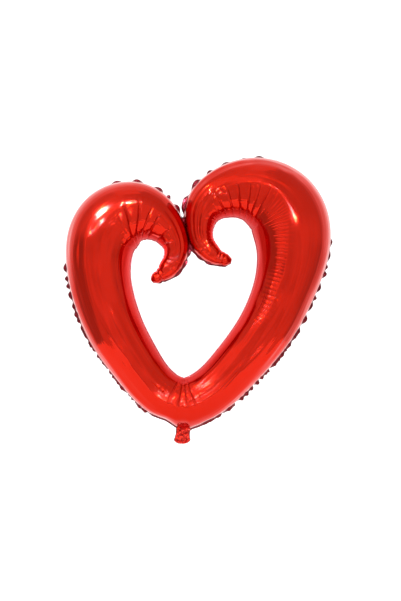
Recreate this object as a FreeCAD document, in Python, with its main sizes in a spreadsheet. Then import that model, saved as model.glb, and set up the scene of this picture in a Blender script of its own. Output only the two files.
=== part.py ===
"""Open heart foil balloon: one inflated tube whose two upper ends curl inwards as hooks.

Two shaped sheets of foil lie back to back and are heat-sealed all round, so each sheet is a domed
panel with a flat sealing lip along its outer and inner edge. A flat filling tail hangs from the
point of the heart. The self-sealing valve, two strips of clear film, runs through the tail and the
seal into the tube. Past the seal the tail is loose film that flexes on its own fold line.

Frame: millimetres, +Z up, front of the balloon towards -Y. The origin is the middle of the fold
line at the point of the heart, where the neck is tied.
"""

import FreeCAD, Part

import math
import os

import Sketcher
from FreeCAD import Vector

DOC = FreeCAD.newDocument("HeartBalloon")
SHEET = DOC.addObject("Spreadsheet::Sheet", "Dimensions")
FRONT, BACK = Vector(0, -1, 0), Vector(0, 1, 0)

# The tube's centreline from the left hook's tip, round the left lobe, down to the point of the heart
# and up to the right hook's tip. Each station is x, z, the tube's radius there, and the width of the
# outer sealing lip, in millimetres.
STATIONS = [
    ("left_tip_end", -95, 447, 2, 2),
    ("left_tip_bead", -85, 454, 12, 2),
    ("left_tip_waist", -74, 461, 12, 3),
    ("left_hook_end", -58, 472, 19, 5),
    ("left_hook_low", -34, 500, 26, 5),
    ("left_hook_side", -21, 543, 32, 2),
    ("left_hook_touch", -36, 589, 43, 2),
    ("left_hook_root", -66, 624, 60, 6),
    ("left_crown", -119, 650, 83, 8),
    ("left_shoulder", -186, 641, 97, 8),
    ("left_lobe", -235, 596, 99, 8),
    ("left_lobe_side", -254, 530, 94, 8),
    ("left_flank_top", -252, 456, 88, 8),
    ("left_flank_mid", -231, 368, 83, 8),
    ("left_flank_low", -196, 286, 78, 8),
    ("left_leg", -144, 202, 70, 9),
    ("left_foot", -76, 119, 65, 11),
    ("heart_point", 1, 84, 67, 17),
    ("right_foot", 77, 113, 67, 11),
    ("right_leg", 153, 185, 70, 9),
    ("right_flank_low", 217, 262, 75, 8),
    ("right_flank_mid", 270, 346, 81, 8),
    ("right_flank_top", 306, 434, 88, 8),
    ("right_lobe_side", 326, 517, 100, 8),
    ("right_lobe", 326, 595, 110, 8),
    ("right_shoulder", 302, 661, 110, 8),
    ("right_crown", 250, 706, 102, 8),
    ("right_crown_inner", 184, 723, 87, 8),
    ("right_hook_top", 125, 713, 72, 8),
    ("right_hook_root", 81, 688, 61, 7),
    ("right_hook_touch", 55, 651, 50, 3),
    ("right_hook_side", 48, 609, 37, 2),
    ("right_hook_low", 55, 567, 30, 4),
    ("right_hook_end", 76, 537, 25, 6),
    ("right_hook_waist", 102, 518, 18, 5),
    ("right_tip_waist", 118, 513, 14, 3),
    ("right_tip_bead", 131, 509, 12, 2),
    ("right_tip_end", 144, 507, 2, 2),
]

# name, value in millimetres unless the note says otherwise
DIMENSIONS = [
    ("film_wall", 1.0, "thickness that stands in for the 0.03 mm laminate"),
    ("inner_lip", 5.0, "width of the sealing lip along the inner edge"),
    ("tip_lip", 2.0, "width of the inner lip at the hooks' tips"),
    ("tail_width_top", 36.0, "filling tail, at the fold line"),
    ("tail_width_end", 44.0, "filling tail, at its mouth"),
    ("tail_length", 41.0, "from the fold line to the lowest point of the tail's mouth"),
    ("tail_mouth_bow", 4.0, "how far the mouth's middle hangs below its corners"),
    ("tail_offset", 5.0, "sideways lean of the tail's mouth"),
    ("fold_gap", 2.0, "from the fold line to the top edge of the tail"),
    ("valve_width", 26.0, "self-sealing valve strips"),
    ("valve_wall", 0.35, "thickness that stands in for the clear valve film"),
    ("valve_reach", 105.0, "how far the valve runs up inside the tube"),
    ("valve_mouth", 14.0, "how far the valve runs down into the tail"),
    ("valve_nose", 8.0, "corner cut at the valve's inner end"),
    ("channel_spare", 2.0, "side clearance of the valve's channel in the foil"),
    ("channel_rise", 20.0, "how far the channel runs up through the sealing lip"),
    ("print_width", 16.0, "heat-proof print that keeps the valve's channel unsealed"),
    ("print_length", 30.0, "length of that print, up from the fold line"),
    ("print_wall", 0.1, "thickness that stands in for the printed ink"),
]


def fill_sheet():
    """Writes every driving dimension to the sheet, each cell with its alias and a note."""
    row = 1
    for name, value, note in DIMENSIONS:
        put(row, name, value, note)
        row += 1
    for name, *values in STATIONS:
        for part, value in zip(("x", "z", "radius", "lip"), values):
            put(row, f"{name}_{part}", value, "tube station")
            row += 1
    DOC.recompute()


def put(row, alias, value, note):
    SHEET.set(f"A{row}", alias.replace("_", " "))
    SHEET.set(f"B{row}", str(value))
    SHEET.set(f"C{row}", note)
    SHEET.setAlias(f"B{row}", alias)


def size(alias):
    return float(getattr(SHEET, alias))


def cell(alias):
    return f"<<Dimensions>>.{alias}"


CHANNEL_WIDTH = f"({cell('valve_width')} + 2 * {cell('channel_spare')})"
CHANNEL_DEPTH = f"({cell('valve_wall')} + {cell('print_wall')} / 2)"


# ---------------------------------------------------------------- the two foil panels


def panel_section(centre, across, radius, outer_lip, inner_lip):
    """One closed section of the front panel: sealing lip, half-round dome, sealing lip."""
    wall = size("film_wall")
    foot = math.sqrt(radius**2 - wall**2)

    def at(sideways, forward):
        return centre + across * sideways + FRONT * forward

    corners = [
        at(-radius - inner_lip, 0),
        at(-radius - inner_lip, wall),
        at(-foot, wall),
        at(foot, wall),
        at(radius + outer_lip, wall),
        at(radius + outer_lip, 0),
        at(radius - wall, 0),
        at(wall - radius, 0),
    ]
    edges = [Part.makeLine(corners[i], corners[(i + 1) % 8]) for i in range(8)]
    edges[2] = Part.Arc(corners[2], at(0, radius), corners[3]).toShape()
    edges[6] = Part.Arc(corners[6], at(0, radius - wall), corners[7]).toShape()
    return Part.Wire(edges)


def panel_shape():
    """The front panel, lofted through a section at every station of the centreline."""
    points = [Vector(size(f"{s[0]}_x"), 0, size(f"{s[0]}_z")) for s in STATIONS]
    line = Part.BSplineCurve()
    line.interpolate(points)
    sections = []
    for (name, *_), point in zip(STATIONS, points):
        along = line.tangent(line.parameter(point))[0]
        across = BACK.cross(along).normalize()  # away from the opening of the heart
        inner_lip = size("tip_lip") if "tip" in name else size("inner_lip")
        sections.append(
            panel_section(point, across, size(f"{name}_radius"), size(f"{name}_lip"), inner_lip)
        )
    return Part.makeLoft(sections, True, False)


def foil_panels():
    """Both panels: the lofted one with the valve's channel cut from its lip, and its mirror image."""
    blank = DOC.addObject("Part::Feature", "panel_blank")
    blank.Shape = panel_shape()

    channel = DOC.addObject("Part::Box", "valve_channel")
    channel.setExpression("Length", CHANNEL_WIDTH)
    channel.setExpression("Width", CHANNEL_DEPTH)
    channel.setExpression("Height", f"2 * {cell('channel_rise')}")
    channel.setExpression("Placement.Base.x", f"-{CHANNEL_WIDTH} / 2")
    channel.setExpression("Placement.Base.y", f"-{CHANNEL_DEPTH}")
    channel.setExpression("Placement.Base.z", f"-{cell('channel_rise')}")

    front = DOC.addObject("Part::Cut", "front_panel")
    front.Base, front.Tool = blank, channel
    front.Label = "front_foil_panel"

    rear = DOC.addObject("Part::Mirroring", "rear_panel")
    rear.Source = front
    rear.Base, rear.Normal = Vector(0, 0, 0), BACK
    rear.Label = "rear_foil_panel"
    return [front, rear]


# ---------------------------------------------------------------- flat film pieces


def outline(body, name, corners, bow=None, lift="0"):
    """A closed sketch in the XZ plane, its corners (x, z) given as expressions.

    With bow, the expression of a radius, an arc replaces the side from the last corner to the first.
    lift is the sketch's distance in front of the plane.
    """
    plane = next(f for f in body.Origin.OriginFeatures if f.Role == "XZ_Plane")
    sketch = body.newObject("Sketcher::SketchObject", name)
    sketch.AttachmentSupport = (plane, "")
    sketch.MapMode = "FlatFace"
    sketch.setExpression("AttachmentOffset.Base.z", lift)
    count = len(corners)
    lines = count if bow is None else count - 1
    for i in range(lines):
        sketch.addGeometry(Part.LineSegment(Vector(i, i * i, 0), Vector(i + 1, (i + 1) ** 2, 0)))
    for i, (x, z) in enumerate(corners):
        place = (i, 1) if i < lines else (i - 1, 2)
        bind(sketch, "DistanceX", (-1, 1, *place), f"x{i}", x)
        bind(sketch, "DistanceY", (-1, 1, *place), f"z{i}", z)
    for i in range(count - 1 if bow is None else lines - 1):
        sketch.addConstraint(Sketcher.Constraint("Coincident", i, 2, i + 1, 1))
    DOC.recompute()
    if bow is None:
        sketch.addConstraint(Sketcher.Constraint("Coincident", lines - 1, 2, 0, 1))
    else:
        close_with_arc(sketch, lines, bow)
    DOC.recompute()
    return sketch


def bind(sketch, kind, places, name, expression):
    """A constraint whose value follows an expression of the sheet."""
    index = sketch.addConstraint(Sketcher.Constraint(kind, *places, 1.0))
    sketch.renameConstraint(index, name)
    sketch.setExpression(f"Constraints.{name}", expression)


def close_with_arc(sketch, lines, bow):
    """Closes a chain of lines with an arc that hangs below its two ends."""
    left = sketch.Geometry[lines - 1].EndPoint
    right = sketch.Geometry[0].StartPoint
    middle = (left + right) * 0.5 + Vector(0, -size("tail_mouth_bow"), 0)
    arc = sketch.addGeometry(Part.Arc(left, middle, right))
    ends = sorted((1, 2), key=lambda end: sketch.getPoint(arc, end).x)
    sketch.addConstraint(Sketcher.Constraint("Coincident", arc, ends[0], lines - 1, 2))
    sketch.addConstraint(Sketcher.Constraint("Coincident", arc, ends[1], 0, 1))
    bind(sketch, "Radius", (arc,), "bow", bow)


def sheet_of_film(label, corners, wall, lift="0", rear=False, bow=None):
    """A body of one flat film layer; a rear one grows backwards and lies behind the plane."""
    body = DOC.addObject("PartDesign::Body", label + "_body")
    body.Label = label
    offset = f"-({lift})" if rear else lift
    sketch = outline(body, label + "_outline", corners, bow, offset)
    pad = body.newObject("PartDesign::Pad", label + "_pad")
    pad.Profile = sketch
    pad.setExpression("Length", wall)
    pad.Reversed = rear
    DOC.recompute()
    return body


def cut_channel(body, corners, rear):
    """Takes the valve's room out of the inner face of a tail layer, along its whole length."""
    before = body.Shape.Volume
    sketch = outline(body, body.Name + "_channel_outline", corners)
    pocket = body.newObject("PartDesign::Pocket", body.Name + "_channel")
    pocket.Profile = sketch
    pocket.setExpression("Length", CHANNEL_DEPTH)
    pocket.Reversed = not rear
    DOC.recompute()
    if body.Shape.Volume > before - 1:
        raise RuntimeError(f"{body.Label}: the channel cut nothing")


def box_corners(left, right, low, high):
    return [(left, low), (right, low), (right, high), (left, high)]


def tail_layers():
    """The two foil layers of the filling tail, each with its half of the channel."""
    top, end, lean = cell("tail_width_top"), cell("tail_width_end"), cell("tail_offset")
    gap, bow = cell("fold_gap"), cell("tail_mouth_bow")
    hem = f"-({cell('tail_length')} - {bow})"
    corners = [
        (f"{end} / 2 - {lean}", hem),
        (f"{top} / 2", f"-{gap}"),
        (f"-{top} / 2", f"-{gap}"),
        (f"-{end} / 2 - {lean}", hem),
    ]
    arc_radius = f"(({end} / 2) ^ 2 + {bow} ^ 2) / (2 * {bow})"
    half = f"{CHANNEL_WIDTH} / 2"
    room = [
        (f"{half} - {lean}", f"-{cell('tail_length')} - {bow}"),
        (half, "0"),
        (f"-{half}", "0"),
        (f"-{half} - {lean}", f"-{cell('tail_length')} - {bow}"),
    ]
    made = []
    for label, rear in (("tail_front_foil", False), ("tail_rear_foil", True)):
        body = sheet_of_film(label, corners, cell("film_wall"), rear=rear, bow=arc_radius)
        cut_channel(body, room, rear)
        made.append(body)
    return made


def valve_films():
    """The clear strips of the valve: the long pair inside the tube and the short pair in the tail."""
    half, wall = f"{cell('valve_width')} / 2", cell("valve_wall")
    reach, nose = cell("valve_reach"), cell("valve_nose")
    long_strip = [
        (f"-{half}", "0"),
        (half, "0"),
        (half, f"{reach} - {nose}"),
        (f"{half} - {nose}", reach),
        (f"-{half} + {nose}", reach),
        (f"-{half}", f"{reach} - {nose}"),
    ]
    short_strip = box_corners(f"-{half}", half, f"-{cell('valve_mouth')}", f"-{cell('fold_gap')}")
    lift = f"{cell('print_wall')} / 2"
    made = []
    for side, rear in (("front", False), ("rear", True)):
        made.append(sheet_of_film(f"valve_{side}_film", long_strip, wall, lift, rear))
        made.append(sheet_of_film(f"valve_mouth_{side}_film", short_strip, wall, lift, rear))
    return made


def heat_proof_print():
    """The printed patch between the valve's strips, where the edge seal crosses them."""
    half = f"{cell('print_width')} / 2"
    corners = box_corners(f"-{half}", half, "0", cell("print_length"))
    wall = cell("print_wall")
    return [sheet_of_film("valve_heat_proof_print", corners, wall, f"-{wall} / 2")]


# ---------------------------------------------------------------- checks and files


def check(kept):
    for thing in DOC.Objects:
        bad = [word for word in ("Invalid", "Error") if word in thing.State]
        if bad:
            raise RuntimeError(f"{thing.Name} is {bad[0]}")
    for thing in kept:
        if thing.Shape.isNull() or not thing.Shape.isValid():
            raise RuntimeError(f"{thing.Label} has no valid shape")


def main():
    fill_sheet()
    kept = foil_panels() + tail_layers() + valve_films() + heat_proof_print()
    DOC.recompute()
    check(kept)
    os.makedirs("parts", exist_ok=True)
    for thing in kept:
        thing.Shape.exportStep(f"parts/{thing.Label}.step")
        box = thing.Shape.BoundBox
        print(
            f"{thing.Label:24s} {len(thing.Shape.Solids)} solid, {thing.Shape.Volume:10.0f} mm3,"
            f" x {box.XMin:.1f} to {box.XMax:.1f}, y {box.YMin:.2f} to {box.YMax:.2f},"
            f" z {box.ZMin:.1f} to {box.ZMax:.1f}"
        )


main()
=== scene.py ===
"""Open heart foil balloon, rendered as the inflated film that it really is.

Two sheets of metallised film are sealed along both edges of a heart-shaped ring, so gas turns the
ring into a tube. A sheet can't stretch: where the tube bends, the film on the inner side has
length to spare and gathers into pleats. solve_film() finds those pleats by simulation, on a grid
that runs along the tube and round it. The seals, the filling tail and the valve are built round
the result. Metres, in the CAD's own frame: +Z up, front towards -Y, origin at the fold line.
"""

import math

import bpy
import numpy as np
from mathutils import Matrix, Vector


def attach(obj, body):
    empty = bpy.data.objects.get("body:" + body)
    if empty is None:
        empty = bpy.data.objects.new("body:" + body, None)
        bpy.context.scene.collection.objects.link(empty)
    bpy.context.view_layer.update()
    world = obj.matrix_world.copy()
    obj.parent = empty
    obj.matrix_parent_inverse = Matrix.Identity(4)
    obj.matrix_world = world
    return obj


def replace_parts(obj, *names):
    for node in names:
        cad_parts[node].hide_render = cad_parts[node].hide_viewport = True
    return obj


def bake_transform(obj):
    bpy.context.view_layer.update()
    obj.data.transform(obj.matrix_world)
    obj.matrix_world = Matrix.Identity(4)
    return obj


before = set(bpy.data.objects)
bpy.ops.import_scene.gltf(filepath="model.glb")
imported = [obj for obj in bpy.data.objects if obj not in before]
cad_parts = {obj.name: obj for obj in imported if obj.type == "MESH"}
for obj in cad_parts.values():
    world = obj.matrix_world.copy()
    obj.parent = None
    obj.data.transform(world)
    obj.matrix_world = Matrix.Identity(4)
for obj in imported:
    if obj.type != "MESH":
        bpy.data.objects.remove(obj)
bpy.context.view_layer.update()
MM = 0.001

# The tube's centreline, on the stations that part.py has: name, x, z and the tube's radius in
# millimetres, from the left hook's tip round the heart to the right hook's tip.
STATIONS = [
    ("left_tip_end", -95, 447, 2),
    ("left_tip_bead", -85, 454, 12),
    ("left_tip_waist", -74, 461, 12),
    ("left_hook_end", -58, 472, 19),
    ("left_hook_low", -34, 500, 26),
    ("left_hook_side", -21, 543, 32),
    ("left_hook_touch", -36, 589, 43),
    ("left_hook_root", -66, 624, 60),
    ("left_crown", -119, 650, 83),
    ("left_shoulder", -186, 641, 97),
    ("left_lobe", -235, 596, 99),
    ("left_lobe_side", -254, 530, 94),
    ("left_flank_top", -252, 456, 88),
    ("left_flank_mid", -231, 368, 83),
    ("left_flank_low", -196, 286, 78),
    ("left_leg", -144, 202, 70),
    ("left_foot", -76, 119, 65),
    ("heart_point", 1, 84, 67),
    ("right_foot", 77, 113, 67),
    ("right_leg", 153, 185, 70),
    ("right_flank_low", 217, 262, 75),
    ("right_flank_mid", 270, 346, 81),
    ("right_flank_top", 306, 434, 88),
    ("right_lobe_side", 326, 517, 100),
    ("right_lobe", 326, 595, 110),
    ("right_shoulder", 302, 661, 110),
    ("right_crown", 250, 706, 102),
    ("right_crown_inner", 184, 723, 87),
    ("right_hook_top", 125, 713, 72),
    ("right_hook_root", 81, 688, 61),
    ("right_hook_touch", 55, 651, 50),
    ("right_hook_side", 48, 609, 37),
    ("right_hook_low", 55, 567, 30),
    ("right_hook_end", 76, 537, 25),
    ("right_hook_waist", 102, 518, 18),
    ("right_tip_waist", 118, 513, 14),
    ("right_tip_bead", 131, 509, 12),
    ("right_tip_end", 144, 507, 2),
]

ALONG = 1120  # grid rows, from tip to tip
AROUND = 96  # grid columns round the tube

# ---------------------------------------------------------------- the tube's own geometry


def spline(knots, values, at):
    """Natural cubic spline through values at the knots, read at the places in at."""
    count = len(knots)
    step = np.diff(knots)
    matrix = np.zeros((count, count))
    right = np.zeros((count, values.shape[1]))
    matrix[0, 0] = matrix[-1, -1] = 1
    for i in range(1, count - 1):
        matrix[i, i - 1 : i + 2] = step[i - 1], 2 * (step[i - 1] + step[i]), step[i]
        slope = (values[i + 1] - values[i]) / step[i] - (values[i] - values[i - 1]) / step[i - 1]
        right[i] = 6 * slope
    bend = np.linalg.solve(matrix, right)
    k = np.clip(np.searchsorted(knots, at, side="right") - 1, 0, count - 2)
    before = ((knots[k + 1] - at) / step[k])[:, None]
    after = 1 - before
    curved = (before**3 - before) * bend[k] + (after**3 - after) * bend[k + 1]
    return before * values[k] + after * values[k + 1] + curved * step[k][:, None] ** 2 / 6


def smooth(values, width):
    """Running mean with a bell-shaped window of width rows."""
    bell = np.hanning(width + 2)[1:-1]
    bell /= bell.sum()
    padded = np.pad(values, [(width // 2, width // 2)] + [(0, 0)] * (values.ndim - 1), mode="edge")
    if values.ndim == 1:
        return np.convolve(padded, bell, "valid")
    return np.stack([np.convolve(column, bell, "valid") for column in padded.T], 1)


def ramp(value, low, high):
    """0 below low, 1 above high, smooth between."""
    t = np.clip((value - low) / (high - low), 0, 1)
    return t * t * (3 - 2 * t)


def window(value, rise, start, end, fall):
    """1 between start and end, smooth down to 0 at rise and fall."""
    return ramp(value, rise, start) * (1 - ramp(value, end, fall))


class Tube:
    """Centreline, radius, frame and bend of the tube, at every grid row."""

    def __init__(self, rows):
        points = np.array([s[1:3] for s in STATIONS]) * MM
        radii = np.array([s[3:4] for s in STATIONS]) * MM
        knots = np.r_[0, np.cumsum(np.hypot(*np.diff(points, axis=0).T))]
        fine = np.linspace(0, knots[-1], 6000)
        run = np.r_[0, np.cumsum(np.hypot(*np.diff(spline(knots, points, fine), axis=0).T))]
        self.length = run[-1]
        self.step = self.length / (rows - 1)
        self.run = np.linspace(0, self.length, rows)
        at = np.interp(self.run, run, fine)
        self.centre = spline(knots, points, at)
        straight = np.interp(at, knots, radii[:, 0])
        middle = window(at, 0.03, 0.06, knots[-1] - 0.06, knots[-1] - 0.03)
        self.radius = straight + (spline(knots, radii, at)[:, 0] - straight) * middle
        along = np.gradient(self.centre, axis=0)
        self.along = along / np.hypot(*along.T)[:, None]
        self.outward = np.c_[self.along[:, 1], -self.along[:, 0]]
        turn = -(np.gradient(self.along, axis=0) / self.step * self.outward).sum(1)
        self.bend = np.clip(self.radius * smooth(turn, 31), 0, 0.95)

    def place(self, angle, away):
        """Points at an angle round the tube, 0 at the outer seam, and a distance from its middle."""
        sideways = away * np.cos(angle)
        points = np.empty(sideways.shape + (3,))
        points[..., 0] = self.centre[:, :1] + self.outward[:, :1] * sideways
        points[..., 1] = -away * np.sin(angle)
        points[..., 2] = self.centre[:, 1:] + self.outward[:, 1:] * sideways
        return points


# ---------------------------------------------------------------- noise


def noise_along(seed, rows, feature):
    """Smooth noise of unit size down the rows, with a feature size in rows."""
    knots = np.random.default_rng(seed).standard_normal(int(rows / feature) + 3)
    x = np.linspace(0, len(knots) - 1.001, rows)
    i = x.astype(int)
    t = ramp(x - i, 0, 1)
    return knots[i] * (1 - t) + knots[i + 1] * t


def noise_over(seed, rows, columns, feature_rows, feature_columns):
    """Smooth noise over the grid, which closes on itself round the tube."""
    high = max(3, int(rows / feature_rows) + 2)
    wide = max(3, round(columns / feature_columns))
    knots = np.random.default_rng(seed).standard_normal((high, wide))
    x = np.linspace(0, high - 1.001, rows)
    y = np.arange(columns) / columns * wide
    i, j = x.astype(int), y.astype(int) % wide
    after = (j + 1) % wide
    s = ramp(x - i, 0, 1)[:, None]
    t = ramp(y - y.astype(int), 0, 1)[None, :]
    near = knots[i][:, j] * (1 - s) + knots[i + 1][:, j] * s
    far = knots[i][:, after] * (1 - s) + knots[i + 1][:, after] * s
    return near * (1 - t) + far * t


# ---------------------------------------------------------------- how much film there is to spare


def coarse_places(tube):
    """1 where the tube turns so tightly that the film folds into wide facets, along the tube."""
    s = tube.run
    left_curl = window(s, 0.12, 0.16, 0.33, 0.38)
    point = window(s, 0.97, 0.995, 1.07, 1.10)
    right_curl = window(s, 1.78, 1.83, 1.98, 2.04)
    return left_curl + point + right_curl


# Lines that the film keeps along the tube: run in metres, and the angle from the crest. The pleats
# of the inner side end at the first of them, and the outer ridges lie beyond the crest.
LEFT_PLEAT_END = [
    (0.0, 0.0), (0.17, 0.05), (0.22, 0.16), (0.28, 0.25), (0.36, 0.08),
    (0.42, -0.08), (0.50, -0.22), (0.66, -0.26), (0.92, -0.10),
]
POINT_PLEAT_END = [(0.985, 0.24), (1.07, 0.27)]
RIGHT_PLEAT_END = [
    (1.13, -0.10), (1.30, -0.20), (1.45, -0.29), (1.60, -0.21), (1.68, -0.18),
    (1.76, -0.02), (1.81, 0.14), (1.90, 0.06), (2.0, 0.0), (2.23, 0.0),
]
PLEAT_END = LEFT_PLEAT_END + POINT_PLEAT_END + RIGHT_PLEAT_END
LEFT_OUTER_RIDGE = [
    (0.42, 0.30), (0.52, 0.22), (0.60, 0.20), (0.70, 0.15), (0.80, 0.08), (0.92, 0.02),
]
RIGHT_OUTER_RIDGE = [
    (1.38, 0.20), (1.50, 0.22), (1.60, 0.16), (1.68, 0.06), (1.75, 0.02), (1.82, 0.10),
]


def follow(tube, places):
    """The angle of a line along the tube, at every row."""
    places = np.array(places)
    return smooth(np.interp(tube.run, places[:, 0], places[:, 1]), 61)


LEAST_FLAT = 0.14  # the pleated side's spare part is never less than this
MOST_SPARE = 0.3


def spare_length(tube, lean):
    """Part by which the film is longer than the smooth tube, at every grid point.

    lean is the angle from the crest, -pi/2 at the inner seam and +pi/2 at the outer one.
    """
    flat = lean / 1.4 - np.sin(lean) + LEAST_FLAT  # flat ring against round tube
    s = tube.run
    left_ribs = window(s, 0.36, 0.44, 0.58, 0.68)
    right_ribs = window(s, 1.32, 1.38, 1.76, 1.84)
    beside_point = window(s, 0.925, 0.94, 0.97, 0.985) + window(s, 1.08, 1.09, 1.11, 1.125)
    fine = (0.10 * left_ribs + 0.9 * beside_point + right_ribs) * (0.25 + 0.3 * tube.bend)
    wide = coarse_places(tube) * tube.bend
    across = lean[None, :] - follow(tube, PLEAT_END)[:, None]
    facets = window(lean, -1.34, -1.15, 0.5, 0.6)[None, :] * (1 - ramp(across, -0.10, 0.02))
    ribs = window(lean, -0.66, -0.50, 0.5, 0.6)[None, :] * (1 - ramp(across, -0.12, -0.02))
    spare = (wide[:, None] * facets + fine[:, None] * ribs) * np.maximum(flat, LEAST_FLAT)
    tips = 1 - window(s, 0.03, 0.16, tube.length - 0.24, tube.length - 0.03)
    spare += 0.07 * tips[:, None]  # the thin hooks crumple all round
    return np.clip(spare + 0.001, 0, MOST_SPARE)


FINE_PITCH = 12.5 * MM
COARSE_PITCH = 34.5 * MM


def pleat_seed(tube, spare):
    """A first, rough set of pleats, inwards from the smooth tube, for the simulation to settle."""
    pitch = FINE_PITCH + (COARSE_PITCH - FINE_PITCH) * smooth(coarse_places(tube), 21)
    jitter = 1 + 0.30 * np.tanh(noise_along(1, ALONG, 22))
    phase = np.cumsum(2 * np.pi * tube.step / (pitch * jitter))
    sway = 0.6 * noise_over(2, ALONG, AROUND, 16, 22)
    wave = np.cos(phase[:, None] + sway)
    crease = 1 - 2 * np.exp(-((1 - wave) ** 2) / 0.30)  # broad facets, narrow valleys
    depth = np.sqrt(spare) / np.pi * pitch[:, None]
    grain = 0.0002 * noise_over(3, ALONG, AROUND, 3, 3)
    return depth * (crease - 1) * 0.9 + grain


# ---------------------------------------------------------------- the film's simulation

ROUNDS = 420
PRESSURE = 3e-5  # how far the gas moves a point outwards in one round
BEND_ALONG = 0.010
BEND_AROUND = 0.004
SHEAR_FIRMNESS = 0.4
DRIFT_ROUNDS = 10  # the tube is put back on its centreline once in so many rounds


def pull(a, b, rest, firm=1.0):
    """Moves the two ends of every pair towards the distance rest, in place."""
    gap = b - a
    length = np.sqrt((gap * gap).sum(-1, keepdims=True)) + 1e-9
    gap *= (length - rest) / length * (0.5 * firm)
    a += gap
    b -= gap


def relax(film, rest_along, rest_around, rest_across):
    """One round of the film's own forces: along, around, across the mesh, and bending."""
    rows, columns, _ = film.shape
    for first in (0, 1):
        near, far = film[first : rows - 1 : 2], film[first + 1 : rows : 2]
        pull(near, far, rest_along[first : rows - 1 : 2])
    pull(film[:, 0 : columns - 1 : 2], film[:, 1:columns:2], rest_around[:, 0 : columns - 1 : 2])
    pull(film[:, 1 : columns - 1 : 2], film[:, 2:columns:2], rest_around[:, 1 : columns - 1 : 2])
    pull(film[:, columns - 1], film[:, 0], rest_around[:, columns - 1])
    for first in (0, 1):
        rest = rest_across[first : rows - 1 : 2]
        for shift in (-1, 1):
            near = film[first : rows - 1 : 2]
            far = np.roll(film[first + 1 : rows : 2], shift, 1)
            pull(near, far, rest, SHEAR_FIRMNESS)
            film[first + 1 : rows : 2] = np.roll(far, -shift, 1)
    curve = film[:-2] + film[2:] - 2 * film[1:-1]
    film[2:-2] -= BEND_ALONG * (curve[:-2] + curve[2:] - 2 * curve[1:-1])
    curve = np.roll(film, 1, 1) + np.roll(film, -1, 1) - 2 * film
    film -= BEND_AROUND * (np.roll(curve, 1, 1) + np.roll(curve, -1, 1) - 2 * curve)


def grid_normals(film):
    """Unit normals of the grid; which side they point to depends on how the grid runs."""
    down = np.gradient(film, axis=0)
    across = np.roll(film, -1, 1) - np.roll(film, 1, 1)
    normal = np.cross(across, down)
    return normal / (np.sqrt((normal * normal).sum(-1, keepdims=True)) + 1e-12)


def solve_film(tube, angle, lean):
    """The settled film: a grid of points, column 0 at the outer seam."""
    smooth_tube = tube.place(angle[None, :], np.repeat(tube.radius[:, None], AROUND, 1))
    spare = spare_length(tube, lean)
    rest_along = np.sqrt((np.diff(smooth_tube, axis=0) ** 2).sum(-1))
    rest_along *= 1 + (spare[:-1] + spare[1:]) / 2
    rest_around = np.sqrt(((np.roll(smooth_tube, -1, 1) - smooth_tube) ** 2).sum(-1))
    mean_along = (rest_along + np.roll(rest_along, -1, 1)) / 2
    rest_across = np.hypot(mean_along, (rest_around[:-1] + rest_around[1:]) / 2)
    away = tube.radius[:, None] + pleat_seed(tube, spare)
    film = tube.place(angle[None, :], away).astype(np.float32)
    rests = [r.astype(np.float32)[..., None] for r in (rest_along, rest_around, rest_across)]
    middle = smooth_tube.mean(1)
    sign = np.sign((grid_normals(smooth_tube) * (smooth_tube - middle[:, None])).sum(-1).mean())
    for turn in range(ROUNDS):
        relax(film, *rests)
        film += np.float32(PRESSURE * sign) * grid_normals(film)
        if turn % DRIFT_ROUNDS == DRIFT_ROUNDS - 1:
            drift = smooth(film.mean(1) - middle, 61)
            film -= drift[:, None].astype(np.float32)
    return film.astype(float)


# ---------------------------------------------------------------- meshes


def grid_mesh(name, points, materials, material_of_column=None, flip=False):
    """A mesh of one open grid of points, with s and t along and round it as its UV map, in metres."""
    rows, columns, _ = points.shape
    i = np.arange(rows - 1)[:, None] * columns
    j = np.arange(columns - 1)[None, :]
    corners = [i + j, i + j + 1, i + j + columns + 1, i + j + columns]
    faces = np.stack(corners[::-1] if flip else corners, -1).reshape(-1, 4)
    mesh = bpy.data.meshes.new(name)
    mesh.from_pydata(points.reshape(-1, 3).tolist(), [], faces.tolist())
    for material in materials:
        mesh.materials.append(material)
    if material_of_column is not None:
        index = np.repeat(material_of_column[None, :], rows - 1, 0).ravel().astype(np.int32)
        mesh.polygons.foreach_set("material_index", index)
    down = np.linalg.norm(np.diff(points, axis=0), axis=-1).mean(1)
    across = np.linalg.norm(np.diff(points, axis=1), axis=-1).max(0)
    s = np.r_[0, np.cumsum(down)][:, None] + 0 * points[..., 0]
    t = np.r_[0, np.cumsum(across)][None, :] + 0 * points[..., 0]
    layer = mesh.uv_layers.new(name="film")
    uv = np.stack([s.ravel(), t.ravel()], -1)[faces.ravel()]
    layer.data.foreach_set("uv", uv.ravel())
    mesh.shade_smooth()
    mesh.update()
    thing = bpy.data.objects.new(name, mesh)
    bpy.context.scene.collection.objects.link(thing)
    return thing


def resample(points, at):
    """Reads the columns of a grid at fractional places, on a smooth curve through them."""
    last = points.shape[1] - 1
    i = np.clip(at.astype(int), 0, last - 1)
    t = (at - i)[None, :, None]
    a, b = points[:, np.clip(i - 1, 0, last)], points[:, i]
    c, d = points[:, i + 1], points[:, np.clip(i + 2, 0, last)]
    return b + 0.5 * t * (c - a + t * (2 * a - 5 * b + 4 * c - d + t * (3 * (b - c) + d - a)))


# ---------------------------------------------------------------- marks the film keeps

NECK_REACH = 20 * MM  # how far to each side the neck draws the film down
NECK_PULL = 11 * MM  # and how far down
FUNNEL_REACH = 20 * MM  # how far to each side the film is flattened into the neck
FUNNEL_HEIGHT = 50 * MM  # and how far up
FUNNEL_DEPTH = 0.55  # part of its depth that the film loses there
CREASE_PITCH = 2.4 * MM
CREASE_SLANT = 14  # how fast the creases of the neck run sideways as they go up
CREASE_DEPTH = 0.6 * MM
SIDE_LIFT = 13 * MM  # how far the film rises on the left of the neck
SIDE_DROP = 0.40 * SIDE_LIFT  # and how far it hangs on the right


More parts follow.
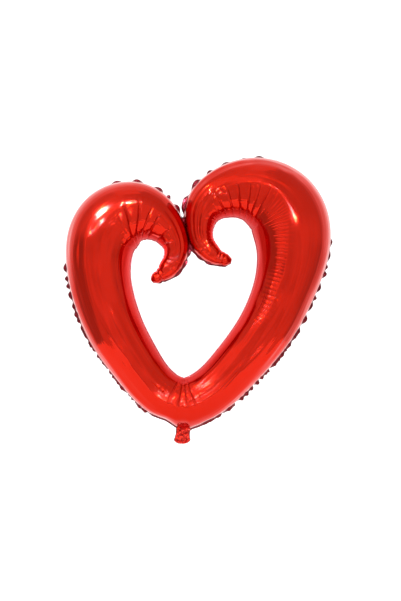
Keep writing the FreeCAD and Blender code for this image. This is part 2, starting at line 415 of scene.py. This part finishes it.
def gather_at_neck(film):
    """Draws the heart's point down into the neck, flattens it there, and moves it beside the neck."""
    x, y, z = film[..., 0], film[..., 1], film[..., 2]
    z -= NECK_PULL * np.exp(-((x / NECK_REACH) ** 2)) * (1 - ramp(z, 0.02, 0.06))
    pinch = np.exp(-((x / FUNNEL_REACH) ** 2)) * (1 - ramp(z, 0.0, FUNNEL_HEIGHT))
    creases = CREASE_DEPTH * np.sin(x / CREASE_PITCH + CREASE_SLANT * z) * np.sign(y)
    y += pinch * (creases - FUNNEL_DEPTH * y)
    low = 1 - ramp(z, 0.0, 0.07)
    z += SIDE_LIFT * low * window(x, -0.20, -0.11, -0.060, -0.020)
    z -= SIDE_DROP * low * window(x, 0.008, 0.020, 0.035, 0.075)


# The ridges: line, where each starts and ends, and its height, in metres.
RIDGES = [
    (LEFT_PLEAT_END, 0.14, 0.62, 0.0022),
    (LEFT_OUTER_RIDGE, 0.42, 0.92, 0.0034),
    (RIGHT_PLEAT_END, 1.34, 1.98, 0.0034),
    (RIGHT_OUTER_RIDGE, 1.38, 1.84, 0.0026),
]


def lift_of_ridges(tube, lean):
    """Height of the long ridges, which fall away more steeply on the side of the pleats."""
    lift = 0.0
    for places, start, end, strength in RIDGES:
        across = lean[None, :] - follow(tube, places)[:, None]
        fall = np.where(across > 0, 0.22, 0.12)
        present = window(tube.run, start, start + 0.06, end - 0.08, end)[:, None]
        lift = lift + strength * present * np.exp(-np.abs(across) / fall)
    return lift


CRINKLE = 0.12 * MM
CRINKLE_AT_POINT = 0.45 * MM
STREAK = 1.4 * MM
MOTTLE = 0.4 * MM


def lift_of_wrinkles(tube, lean):
    """Height of the crinkle in the pleats, the long streaks and the mottling of the right crown."""
    s = tube.run
    rows, columns = len(s), len(lean)
    beyond = lean[None, :] - follow(tube, PLEAT_END)[:, None]
    pleated = coarse_places(tube)[:, None] * (1 - ramp(beyond, -0.05, 0.10))
    at_point = window(s, 0.99, 1.005, 1.06, 1.08)[:, None]
    lift = (CRINKLE + CRINKLE_AT_POINT * at_point) * pleated * noise_over(21, rows, columns, 4, 2)
    streaks = noise_over(24, rows, columns, 80, 5) + 0.6 * noise_over(25, rows, columns, 25, 9)
    body = window(s, 0.06, 0.14, tube.length - 0.16, tube.length - 0.06)
    body *= 1 - 0.8 * window(s, 0.22, 0.26, 0.41, 0.46)  # the left lobe is taut and smooth
    lift += STREAK * streaks * body[:, None] * np.cos(lean)[None, :]
    mottled = window(s, 1.72, 1.78, 1.96, 2.02)[:, None] * window(lean, 0.15, 0.35, 1.0, 1.3)[None, :]
    lift += MOTTLE * mottled * noise_over(26, rows, columns, 9, 5)
    return lift


BEAD_PITCH = 22 * MM
BEAD_HEIGHT = 1.2 * MM


def lift_of_beads(tube, lean):
    """Height of the round beads and dents into which the thin hooks crumple."""
    s = tube.run
    tips = 1 - window(s, 0.05, 0.17, tube.length - 0.26, tube.length - 0.05)
    size = np.clip(tube.radius / 0.03, 0.3, 1) * tips
    phase = np.pi * s / BEAD_PITCH + 0.5 * noise_along(22, len(s), 14)
    beads = (np.abs(np.sin(phase)) ** 0.7 - 0.6)[:, None]
    dents = np.abs(noise_over(23, len(s), len(lean), 9, 9)) - 0.5
    return BEAD_HEIGHT * size[:, None] * (1.3 * beads + 0.7 * dents) * np.cos(lean)[None, :]


def mark_film(tube, dome, lean, side):
    """The dome of one sheet with its ridges, wrinkles and beads raised.

    dome runs from the outer seam to the inner one, and lean is the angle of each column.
    """
    normal = np.cross(np.gradient(dome, axis=0), np.gradient(dome, axis=1))
    normal /= np.sqrt((normal * normal).sum(-1, keepdims=True)) + 1e-12
    if (normal[..., 1].mean() > 0) == (side > 0):
        normal = -normal
    lift = lift_of_ridges(tube, lean) + lift_of_wrinkles(tube, lean) + lift_of_beads(tube, lean)
    return dome + normal * lift[..., None]


# ---------------------------------------------------------------- seals along the two edges

SEAL_WIDTH = 11.0 * MM
LIP_WIDTH = 5.0 * MM
SEAL_COLUMNS = 6
WELD_SHADE_COLUMNS = 14  # of the dome's own columns beside the inner weld, painted darker as shade
DOME_COLUMNS = 73
LAYER_GAP = 0.15 * MM
RUFFLE_PITCH = 31 * MM
ROLL_AT_NECK = 0.80


def seal_roll(tube):
    """How far the outer seal leans backwards out of its flat plane, in radians, along the tube."""
    s = tube.run
    end = tube.length
    left_lobe = window(s, 0.32, 0.36, 0.49, 0.53)
    left_crown = window(s, 0.18, 0.24, 0.32, 0.36)
    right_lobe = window(s, 1.62, 1.68, 1.80, 1.84)
    right_crown = window(s, 1.80, 1.84, 2.00, 2.05)
    foot = window(s, 0.86, 0.90, 0.97, 0.99)
    left_flank = window(s, 0.49, 0.55, 0.68, 0.74)
    rest = 0.84 - 0.20 * left_flank + 0.75 * (left_lobe + right_lobe) + 0.3 * foot
    rest += 0.36 * left_crown + 0.45 * right_crown
    rest -= 0.30 * (1 - window(s, 0.10, 0.16, end - 0.26, end - 0.2))
    lower = window(s, 0.60, 0.72, 0.97, 0.99) + window(s, 1.06, 1.09, 1.35, 1.50)
    swing = 0.52 + 0.25 * np.tanh(noise_along(13, ALONG, 30))
    swing *= (1 - 0.85 * left_lobe) * (1 - 0.85 * right_lobe)
    swing *= 1 - 0.60 * lower - 0.25 * left_flank * (1 - lower)
    jitter = 1 + 0.45 * np.tanh(noise_along(11, ALONG, 14))
    phase = np.cumsum(2 * np.pi * tube.step / (RUFFLE_PITCH * jitter))
    roll = rest - 0.12 * lower + swing * np.sin(phase)
    roll += 0.16 * noise_along(12, ALONG, 7) + 0.22 * lower * noise_along(15, ALONG, 3)
    neck = window(s, 0.95, 0.99, 1.06, 1.10)
    return roll * (1 - neck) + ROLL_AT_NECK * neck


def seal_grid(seam, direction, roll, width, curl):
    """The seal as a strip that leaves the seam and curls: its points, and its normals."""
    steps = np.arange(1, SEAL_COLUMNS + 1) / SEAL_COLUMNS
    away = np.c_[direction[:, 0], 0 * direction[:, 0], direction[:, 1]]
    back = np.array([0.0, 1.0, 0.0])
    points, normals = [], []
    here = seam.copy()
    for step in steps:
        angle = (roll + curl * (step - 0.5))[:, None]
        heading = away * np.cos(angle) + back * np.sin(angle)
        here = here + heading * (width / SEAL_COLUMNS)[:, None]
        points.append(here)
        normals.append(away * np.sin(angle) - back * np.cos(angle))
    return np.stack(points, 1), np.stack(normals, 1)


def foil_sheet(name, dome, seals, side, materials):
    """One of the two sheets: outer seal, dome, inner lip, as a single grid.

    materials are those of the dome, the seal, the lip and the painted shade of the film beside the
    inner weld.
    """
    outer, inner = [points + normals * (LAYER_GAP * side) for points, normals in seals]
    grid = np.concatenate([outer[:, ::-1], dome, inner], 1)
    material = np.zeros(grid.shape[1] - 1, int)
    material[:SEAL_COLUMNS] = 1
    material[-SEAL_COLUMNS:] = 2
    material[-SEAL_COLUMNS] = 1  # painted shadow: the lip's first column takes the dark seal foil, as the shade in the gutter where the dome meets the lip
    # painted shade: the film beside the inner weld takes the darker foil
    material[-SEAL_COLUMNS - WELD_SHADE_COLUMNS : -SEAL_COLUMNS] = 3
    return grid_mesh(name, grid, materials, material, flip=side > 0)


# ---------------------------------------------------------------- materials


def new_material(name, color, metallic=0.0, roughness=0.4, coat=0.0):
    """A material with its node tree and its Principled shader."""
    material = bpy.data.materials.new(name)
    material.use_nodes = True
    shader = material.node_tree.nodes["Principled BSDF"]
    shader.inputs["Base Color"].default_value = (*color, 1)
    shader.inputs["Metallic"].default_value = metallic
    shader.inputs["Roughness"].default_value = roughness
    shader.inputs["Coat Weight"].default_value = coat
    shader.inputs["Coat Roughness"].default_value = 0.12
    return material, material.node_tree, shader


def add_noise(tree, scale, detail, squeeze=None):
    """Noise in object space or, with squeeze, on the film's UV map, squeezed by that each way."""
    where = tree.nodes.new("ShaderNodeTexCoord")
    noise = tree.nodes.new("ShaderNodeTexNoise")
    noise.inputs["Scale"].default_value = scale
    noise.inputs["Detail"].default_value = detail
    if squeeze is None:
        tree.links.new(where.outputs["Object"], noise.inputs["Vector"])
    else:
        mapping = tree.nodes.new("ShaderNodeMapping")
        mapping.inputs["Scale"].default_value = squeeze
        tree.links.new(where.outputs["UV"], mapping.inputs["Vector"])
        tree.links.new(mapping.outputs["Vector"], noise.inputs["Vector"])
    return noise


def add_range(tree, value, low, high):
    """A value of 0 at low and 1 at high."""
    node = tree.nodes.new("ShaderNodeMapRange")
    node.inputs["From Min"].default_value = low
    node.inputs["From Max"].default_value = high
    tree.links.new(value, node.inputs["Value"])
    return node.outputs[0]


def feed(tree, socket, value):
    """Links a value that is a socket, or sets a number or a colour."""
    if isinstance(value, bpy.types.NodeSocket):
        tree.links.new(value, socket)
    else:
        socket.default_value = value


def add_mix(tree, factor, first, second):
    """A colour mix; first and second are sockets or colours."""
    node = tree.nodes.new("ShaderNodeMix")
    node.data_type = "RGBA"
    tree.links.new(factor, node.inputs["Factor"])
    feed(tree, node.inputs["A"], first)
    feed(tree, node.inputs["B"], second)
    return node.outputs["Result"]


def add_bump(tree, shader, height, strength, distance, before=None):
    """A bump for the shader, on top of the bump before it."""
    bump = tree.nodes.new("ShaderNodeBump")
    bump.inputs["Strength"].default_value = strength
    bump.inputs["Distance"].default_value = distance
    tree.links.new(height, bump.inputs["Height"])
    if before is not None:
        tree.links.new(before.outputs["Normal"], bump.inputs["Normal"])
    tree.links.new(bump.outputs["Normal"], shader.inputs["Normal"])
    return bump


def red_foil():
    """Metallised film: a clear gloss over a red mirror, with the film's fine unevenness."""
    material, tree, shader = new_material("red_foil_film", (0.62, 0.012, 0.001), 1.0, 0.10, 0.20)
    swells = add_noise(tree, 28, 2).outputs["Fac"]
    streaks = add_noise(tree, 1, 2, (5, 48, 1)).outputs["Fac"]
    grain = add_noise(tree, 1, 3, (60, 420, 1)).outputs["Fac"]
    bump = add_bump(tree, shader, swells, 0.10, 0.004)
    bump = add_bump(tree, shader, streaks, 0.28, 0.006, bump)
    add_bump(tree, shader, grain, 0.05, 0.0008, bump)
    return material


def seal_foil(name, color, metallic):
    """The pressed seal: duller and darker, with the fine ribs of the sealing bar."""
    material, tree, shader = new_material(name, color, metallic, 0.28, 0.1)
    where = tree.nodes.new("ShaderNodeTexCoord")
    ribs = tree.nodes.new("ShaderNodeTexWave")
    ribs.wave_type = "BANDS"
    ribs.bands_direction = "DIAGONAL"
    ribs.inputs["Scale"].default_value = 260
    ribs.inputs["Distortion"].default_value = 0.5
    tree.links.new(where.outputs["UV"], ribs.inputs["Vector"])
    add_bump(tree, shader, ribs.outputs["Fac"], 0.25, 0.0004)
    return material


def weld_shade_foil():
    """The foil beside the inner weld: painted shade, darker and less metallic than the rest with its
    gloss tinted red; also duller and finely crinkled.
    """
    # darker colour, lower metallic and red gloss tint: painted shade beside the inner weld
    material, tree, shader = new_material("red_foil_painted_shade_by_weld", (0.54, 0.014, 0.008), 0.6, 0.26)
    shader.inputs["Specular Tint"].default_value = (1, 0.15, 0.12, 1)
    fine = add_noise(tree, 1, 3, (260, 90, 1))
    add_bump(tree, shader, fine.outputs["Fac"], 0.12, 0.0008)
    return material


def tail_foil():
    """The slack foil of the tail, with a crease bump and with dark and light patches painted by
    noise: painted shade and light of its creases.
    """
    material, tree, shader = new_material("red_foil_tail", (0.5, 0.01, 0.004), 1.0, 0.16, 0.3)
    crease_light_and_shade = add_range(tree, add_noise(tree, 150, 2).outputs["Fac"], 0.36, 0.60)
    # painted shade and light: dark and bright copies of the foil colour, mixed by noise
    color = add_mix(tree, crease_light_and_shade, (0.34, 0.004, 0.003, 1), (0.85, 0.04, 0.02, 1))
    tree.links.new(color, shader.inputs["Base Color"])
    add_bump(tree, shader, add_noise(tree, 320, 3).outputs["Fac"], 0.7, 0.002)
    return material


def clear_film():
    """Clear polyethylene: thin, glossy, faintly milky and uneven."""
    material, tree, shader = new_material("clear_valve_film", (0.9, 0.92, 0.95), 0.0, 0.12)
    shader.inputs["Alpha"].default_value = 0.35
    shader.inputs["IOR"].default_value = 1.5
    add_bump(tree, shader, add_noise(tree, 220, 3).outputs["Fac"], 0.2, 0.0006)
    return material


def print_ink():
    """Matt heat-proof ink, a little thicker in some places than in others."""
    material, tree, shader = new_material("heat_proof_ink", (0.8, 0.8, 0.78), 0.0, 0.8)
    thickness = add_noise(tree, 900, 4).outputs["Fac"]
    color = add_mix(tree, thickness, (0.72, 0.72, 0.70, 1), (0.88, 0.88, 0.86, 1))
    tree.links.new(color, shader.inputs["Base Color"])
    add_bump(tree, shader, thickness, 0.3, 0.0002)
    return material


# ---------------------------------------------------------------- the balloon

FOIL = red_foil()
SEAL = seal_foil("red_foil_seal", (0.15, 0.005, 0.009), 0.85)
LIP = seal_foil("red_foil_lip", (0.70, 0.17, 0.18), 0.25)
WELD_SHADE = weld_shade_foil()
TAIL = tail_foil()
TUBE = Tube(ALONG)


def build_envelope(tube):
    """The front and the rear foil sheet, sealed to each other along both edges."""
    angle = np.arange(AROUND) / AROUND * 2 * np.pi
    lean = np.where(angle <= np.pi, np.pi / 2 - angle, angle - 1.5 * np.pi)
    film = solve_film(tube, angle, lean)
    gather_at_neck(film)
    closed = np.concatenate([film, film[:, :1]], 1)
    half = AROUND // 2
    width = np.minimum(SEAL_WIDTH, 0.25 * tube.radius + 1.2 * MM)
    outer = seal_grid(film[:, 0], tube.outward, seal_roll(tube), width, 0.5)
    lip_width = np.minimum(LIP_WIDTH, 0.12 * tube.radius)
    lip_width *= 1 - 0.5 * window(tube.run, 0.95, 0.99, 1.07, 1.11)
    lip_roll = 0.95 + 0.05 * noise_along(14, ALONG, 30)
    inner = seal_grid(film[:, half], -tube.outward, lip_roll, lip_width, 1.0)
    spread = np.linspace(0, 1, DOME_COLUMNS)
    columns = half * (spread + 0.10 * np.sin(2 * np.pi * spread) / (2 * np.pi))
    lean_of_column = np.pi / 2 - columns * (np.pi / half)
    halves = (closed[:, : half + 1], closed[:, : half - 1 : -1])
    for name, dome, side in zip(("front_foil_sheet", "rear_foil_sheet"), halves, (1, -1)):
        dome = mark_film(tube, resample(dome, columns), lean_of_column, side)
        sheet = foil_sheet(name, dome, (outer, inner), side, [FOIL, SEAL, LIP, WELD_SHADE])
        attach(sheet, "envelope")
        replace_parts(sheet, name.replace("sheet", "panel"))


# Edges of the filling tail: height, left edge, right edge, in millimetres.
TAIL_EDGES = [
    (14, -21, 19),
    (8, -22, 21),
    (2, -23, 22),
    (-5, -23, 20),
    (-12, -23.5, 19),
    (-20, -26, 19.5),
    (-30, -29, 21),
    (-42, -30, 22),
]
TAIL_ROWS = 96
TAIL_COLUMNS = 73
TAIL_TOP = 10.5 * MM
MOUTH_CORNER = -30.5 * MM
MOUTH_LOWEST = -41.0 * MM
WAVE_ACROSS = 1.8 * MM  # how far the tail's middle surface waves across and down
WAVE_DOWN = 1.5 * MM
TAIL_WIDTH = 43 * MM  # where the valve lies in it
FOIL_OFFSET = 0.1 * MM  # the least that each layer stands off from the tail's middle surface
VALVE_WIDTH = 26 * MM
VALVE_TOP = -2 * MM
VALVE_BOTTOM = -14 * MM
VALVE_OFFSET = 0.2 * MM  # of each valve strip from the same middle surface


def tail_sheet(width=1.0, top=TAIL_TOP, bottom=None):
    """Middle surface of the flat tail: points, and the place across it from -1 to 1."""
    across = np.linspace(-1, 1, TAIL_COLUMNS)[None, :]
    down = np.linspace(0, 1, TAIL_ROWS)[:, None]
    if bottom is None:
        bottom = MOUTH_LOWEST + (MOUTH_CORNER - MOUTH_LOWEST) * np.abs(across) ** 2.6
    height = top + (bottom - top) * down
    edges = np.array(TAIL_EDGES)[::-1] * MM
    left = np.interp(height, edges[:, 0], edges[:, 1])
    right = np.interp(height, edges[:, 0], edges[:, 2])
    left, right = smooth(left, 15), smooth(right, 15)
    x = (left + right) / 2 + (right - left) / 2 * across * width
    bend = WAVE_ACROSS * np.sin(x / 0.0075 + 1.2) * ramp(-height, -0.002, 0.012)
    bend += WAVE_DOWN * np.sin(height / 0.011 + x / 0.03) * ramp(-height, 0.0, 0.02)
    return np.stack([x, bend, height + 0 * x], -1), across + 0 * height


def tail_layer(name, side, seed):
    """One foil layer of the tail, crumpled, joined to the other along both sides."""
    points, across = tail_sheet()
    folds = np.abs(noise_over(seed, TAIL_ROWS, TAIL_COLUMNS, 9, 11))
    small = np.abs(noise_over(seed + 1, TAIL_ROWS, TAIL_COLUMNS, 4, 5))
    inside = 1 - np.abs(across) ** 6
    mouth = ramp(-points[..., 2], 0.026, 0.041) * (1 - across**2)
    puff = (0.55 + 2.0 * folds + 1.0 * small + 1.8 * mouth) * MM * inside
    points[..., 1] -= side * (puff + FOIL_OFFSET)
    sealed = (np.abs(across[0, :-1] + across[0, 1:]) > 1.8).astype(int)
    layer = grid_mesh(name, points, [TAIL, SEAL], sealed, flip=side < 0)
    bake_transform(layer)
    return layer


def valve_strip(name, side, film):
    """The short end of the clear valve, between the tail's two layers."""
    points, _ = tail_sheet(VALVE_WIDTH / TAIL_WIDTH, VALVE_TOP, VALVE_BOTTOM)
    points[..., 1] -= side * VALVE_OFFSET
    strip = grid_mesh(name, points, [film], flip=side < 0)
    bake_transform(strip)
    return strip


def dress(node, material):
    """Gives a CAD node that stays its own finish."""
    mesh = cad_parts[node].data
    mesh.materials.clear()
    mesh.materials.append(material)


build_envelope(TUBE)
FILM = clear_film()
for side_name, side, seed in (("front", 1, 31), ("rear", -1, 41)):
    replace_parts(tail_layer(f"tail_{side_name}_layer", side, seed), f"tail_{side_name}_foil")
    strip = valve_strip(f"valve_mouth_{side_name}_strip", side, FILM)
    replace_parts(strip, f"valve_mouth_{side_name}_film")
    dress(f"valve_{side_name}_film", FILM)
dress("valve_heat_proof_print", print_ink())

# ---------------------------------------------------------------- studio

FLOOR_Z = -0.06
FLOOR_RADIUS = 0.78
FLOOR_CORNERS = 96
FLOOR_GLOW = 0.45


def build_floor():
    """A plain pale disc under the balloon, which glows a little so that it shows white."""
    mesh = bpy.data.meshes.new("floor")
    turns = [2 * math.pi * i / FLOOR_CORNERS for i in range(FLOOR_CORNERS)]
    rim = [(FLOOR_RADIUS * math.cos(a), FLOOR_RADIUS * math.sin(a), FLOOR_Z) for a in turns]
    mesh.from_pydata(rim, [], [range(FLOOR_CORNERS)])
    floor = bpy.data.objects.new("floor", mesh)
    bpy.context.scene.collection.objects.link(floor)
    material, _, shader = new_material("pale_floor", (0.93, 0.93, 0.93), 0.0, 0.9)
    shader.inputs["Emission Color"].default_value = (1, 1, 1, 1)
    shader.inputs["Emission Strength"].default_value = FLOOR_GLOW
    mesh.materials.append(material)


# Brightness of the studio against the azimuth in degrees, 0 towards the camera and positive to its
# right: below the horizon, at it, above it, and near the ceiling.
BANDS_BELOW = [
    (-131, 1.0), (-116, 0.88), (-99, 0.80), (-96, 0.62), (-88, 0.42), (-72, 0.38), (-60, 0.46),
    (-50, 0.64), (-38, 0.68), (-24, 0.64), (-6, 0.58), (12, 0.66), (26, 0.76), (46, 0.70),
    (62, 0.60), (78, 0.50), (95, 0.38), (98, 0.62), (116, 0.76), (130, 1.0),
]
BANDS_AT_HORIZON = [
    (-131, 1.0), (-116, 0.88), (-99, 0.80), (-96, 0.56), (-80, 0.36), (-66, 0.38), (-54, 0.86),
    (-44, 0.92), (-34, 0.70), (-20, 0.64), (-8, 0.74), (6, 0.80), (18, 0.70), (34, 0.76),
    (60, 0.68), (80, 0.58), (95, 0.50), (98, 0.64), (130, 1.0),
]
BANDS_ABOVE = [
    (-131, 1.0), (-99, 0.86), (-96, 0.68), (-78, 0.60), (-62, 0.70), (-50, 0.96), (-30, 0.96),
    (-14, 1.0), (2, 0.92), (16, 0.92), (24, 0.72), (40, 0.62), (64, 0.58), (84, 0.54),
    (95, 0.54), (98, 0.64), (130, 1.0),
]
BANDS_NEAR_CEILING = [
    (-130, 0.95), (-96, 0.80), (-70, 0.68), (-40, 0.78), (-10, 0.78), (8, 0.66), (30, 0.58),
    (94, 0.56), (130, 0.9),
]
# How far up, from -1 to 1, one of them passes into the next, and the last into the ceiling.
BLENDS = ((-0.20, -0.02), (0.08, 0.34), (0.66, 0.76))
CEILING_BLEND = (0.93, 0.96)
CEILING = (0.85, 0.85, 0.85, 1)
WHITE = (1, 1, 1, 1)
STUDIO_STRENGTH = 1.36


def add_math(tree, operation, first, second):
    """A Math node; first and second are sockets or numbers."""
    node = tree.nodes.new("ShaderNodeMath")
    node.operation = operation
    feed(tree, node.inputs[0], first)
    feed(tree, node.inputs[1], second)
    return node.outputs[0]


def add_bands(tree, azimuth, bands):
    """A brightness that changes with the azimuth in radians."""
    node = tree.nodes.new("ShaderNodeValToRGB")
    tree.links.new(add_range(tree, azimuth, -math.pi, math.pi), node.inputs["Fac"])
    elements = node.color_ramp.elements
    elements.remove(elements[1])
    elements[0].position = 0
    elements[0].color = WHITE
    for degrees, value in bands:
        elements.new((degrees + 180) / 360).color = (value, value, value, 1)
    return node.outputs["Color"]


def build_world():
    """A white studio: bright behind the object, dimmer round the camera, with wide soft panels."""
    world = bpy.data.worlds.new("studio")
    bpy.context.scene.world = world
    world.use_nodes = True
    tree = world.node_tree
    where = tree.nodes.new("ShaderNodeTexCoord")
    split = tree.nodes.new("ShaderNodeSeparateXYZ")
    tree.links.new(where.outputs["Generated"], split.inputs[0])
    forward = add_math(tree, "MULTIPLY", split.outputs["Y"], -1.0)
    azimuth = add_math(tree, "ARCTAN2", split.outputs["X"], forward)
    upward = split.outputs["Z"]
    room = add_bands(tree, azimuth, BANDS_BELOW)
    higher = (BANDS_AT_HORIZON, BANDS_ABOVE, BANDS_NEAR_CEILING)
    for bands, blend in zip(higher, BLENDS):
        room = add_mix(tree, add_range(tree, upward, *blend), room, add_bands(tree, azimuth, bands))
    room = add_mix(tree, add_range(tree, upward, *CEILING_BLEND), room, CEILING)
    seen = tree.nodes.new("ShaderNodeLightPath")
    shown = add_mix(tree, seen.outputs["Is Camera Ray"], room, WHITE)
    backdrop = tree.nodes["Background"]
    tree.links.new(shown, backdrop.inputs["Color"])
    backdrop.inputs["Strength"].default_value = STUDIO_STRENGTH


CAMERA_PLACE = Vector((0.051, -2.504, 0.3885))  # takes in 1.8 m from top to bottom at the heart
LENS = 50
SENSOR_HEIGHT = 36

# Gridded softboxes: where the film shows each one to the camera, as the run along the tube and the
# angle from the crest; its distance, its size across and along the tube, and its brightness.
SOFTBOXES = [
    ("left_lobe_key", 0.380, 0.32, 0.9, 0.46, 0.30, 520),
    ("left_crown_key", 0.250, 0.28, 0.9, 0.32, 0.42, 380),
    ("left_side_strip", 0.412, 0.13, 0.9, 0.12, 0.08, 160),
    ("right_shoulder_strip", 1.764, 0.02, 1.3, 0.12, 0.30, 300),
    ("right_crown_strip", 1.935, 0.20, 1.3, 0.14, 0.30, 12),
    ("right_flank_strip", 1.440, -0.56, 0.7, 0.05, 0.12, 30),
    ("right_hook_strip", 2.120, 0.10, 1.3, 0.16, 0.16, 60),
    ("left_hook_strip", 0.110, 0.10, 1.3, 0.16, 0.16, 60),
    ("point_key", 1.030, -0.14, 1.3, 0.34, 0.34, 45),
]
GRID_ANGLE = math.radians(10)  # how far off its axis a grid lets the light out
GRID_LOSS = 1 - GRID_ANGLE / math.tan(GRID_ANGLE)  # keeps the brightness on the axis as stated
COOL_WHITE = (0.8, 1.0, 1.3)


def add_softbox(tube, name, run, lean, distance, across, along, brightness):
    """A lamp that the camera sees mirrored in the tube at one place, from its mirror direction."""
    row = int(round(run / tube.step))
    away = Vector((tube.outward[row, 0], 0, tube.outward[row, 1]))
    normal = away * math.sin(lean) - Vector((0, math.cos(lean), 0))
    middle = Vector((tube.centre[row, 0], 0, tube.centre[row, 1]))
    place = middle + normal * tube.radius[row]
    sight = (place - CAMERA_PLACE).normalized()
    mirrored = sight - 2 * sight.dot(normal) * normal
    lamp = bpy.data.lights.new(name, "AREA")
    lamp.shape = "RECTANGLE"
    lamp.size, lamp.size_y = across, along
    lamp.energy = math.pi * across * along * brightness * GRID_LOSS
    lamp.spread = 2 * GRID_ANGLE
    lamp.color = COOL_WHITE
    lamp.cycles.max_bounces = 0
    lamp.cycles.use_multiple_importance_sampling = False
    box = bpy.data.objects.new(name, lamp)
    length = Vector((tube.along[row, 0], 0, tube.along[row, 1]))
    length = (length - length.dot(mirrored) * mirrored).normalized()
    turn = Matrix((length.cross(mirrored), length, mirrored)).transposed().to_4x4()
    box.matrix_world = Matrix.Translation(place + mirrored * distance) @ turn
    box.visible_camera = False
    bpy.context.scene.collection.objects.link(box)


def build_camera():
    """A camera that looks level and straight at the front."""
    data = bpy.data.cameras.new("camera")
    data.lens = LENS
    data.sensor_fit = "VERTICAL"
    data.sensor_height = SENSOR_HEIGHT
    camera = bpy.data.objects.new("camera", data)
    camera.location = CAMERA_PLACE
    camera.rotation_euler = (math.pi / 2, 0, 0)
    bpy.context.scene.collection.objects.link(camera)
    bpy.context.scene.camera = camera


build_floor()
build_world()
for softbox in SOFTBOXES:
    add_softbox(TUBE, *softbox)
build_camera()
bpy.context.scene.view_settings.view_transform = "Standard"
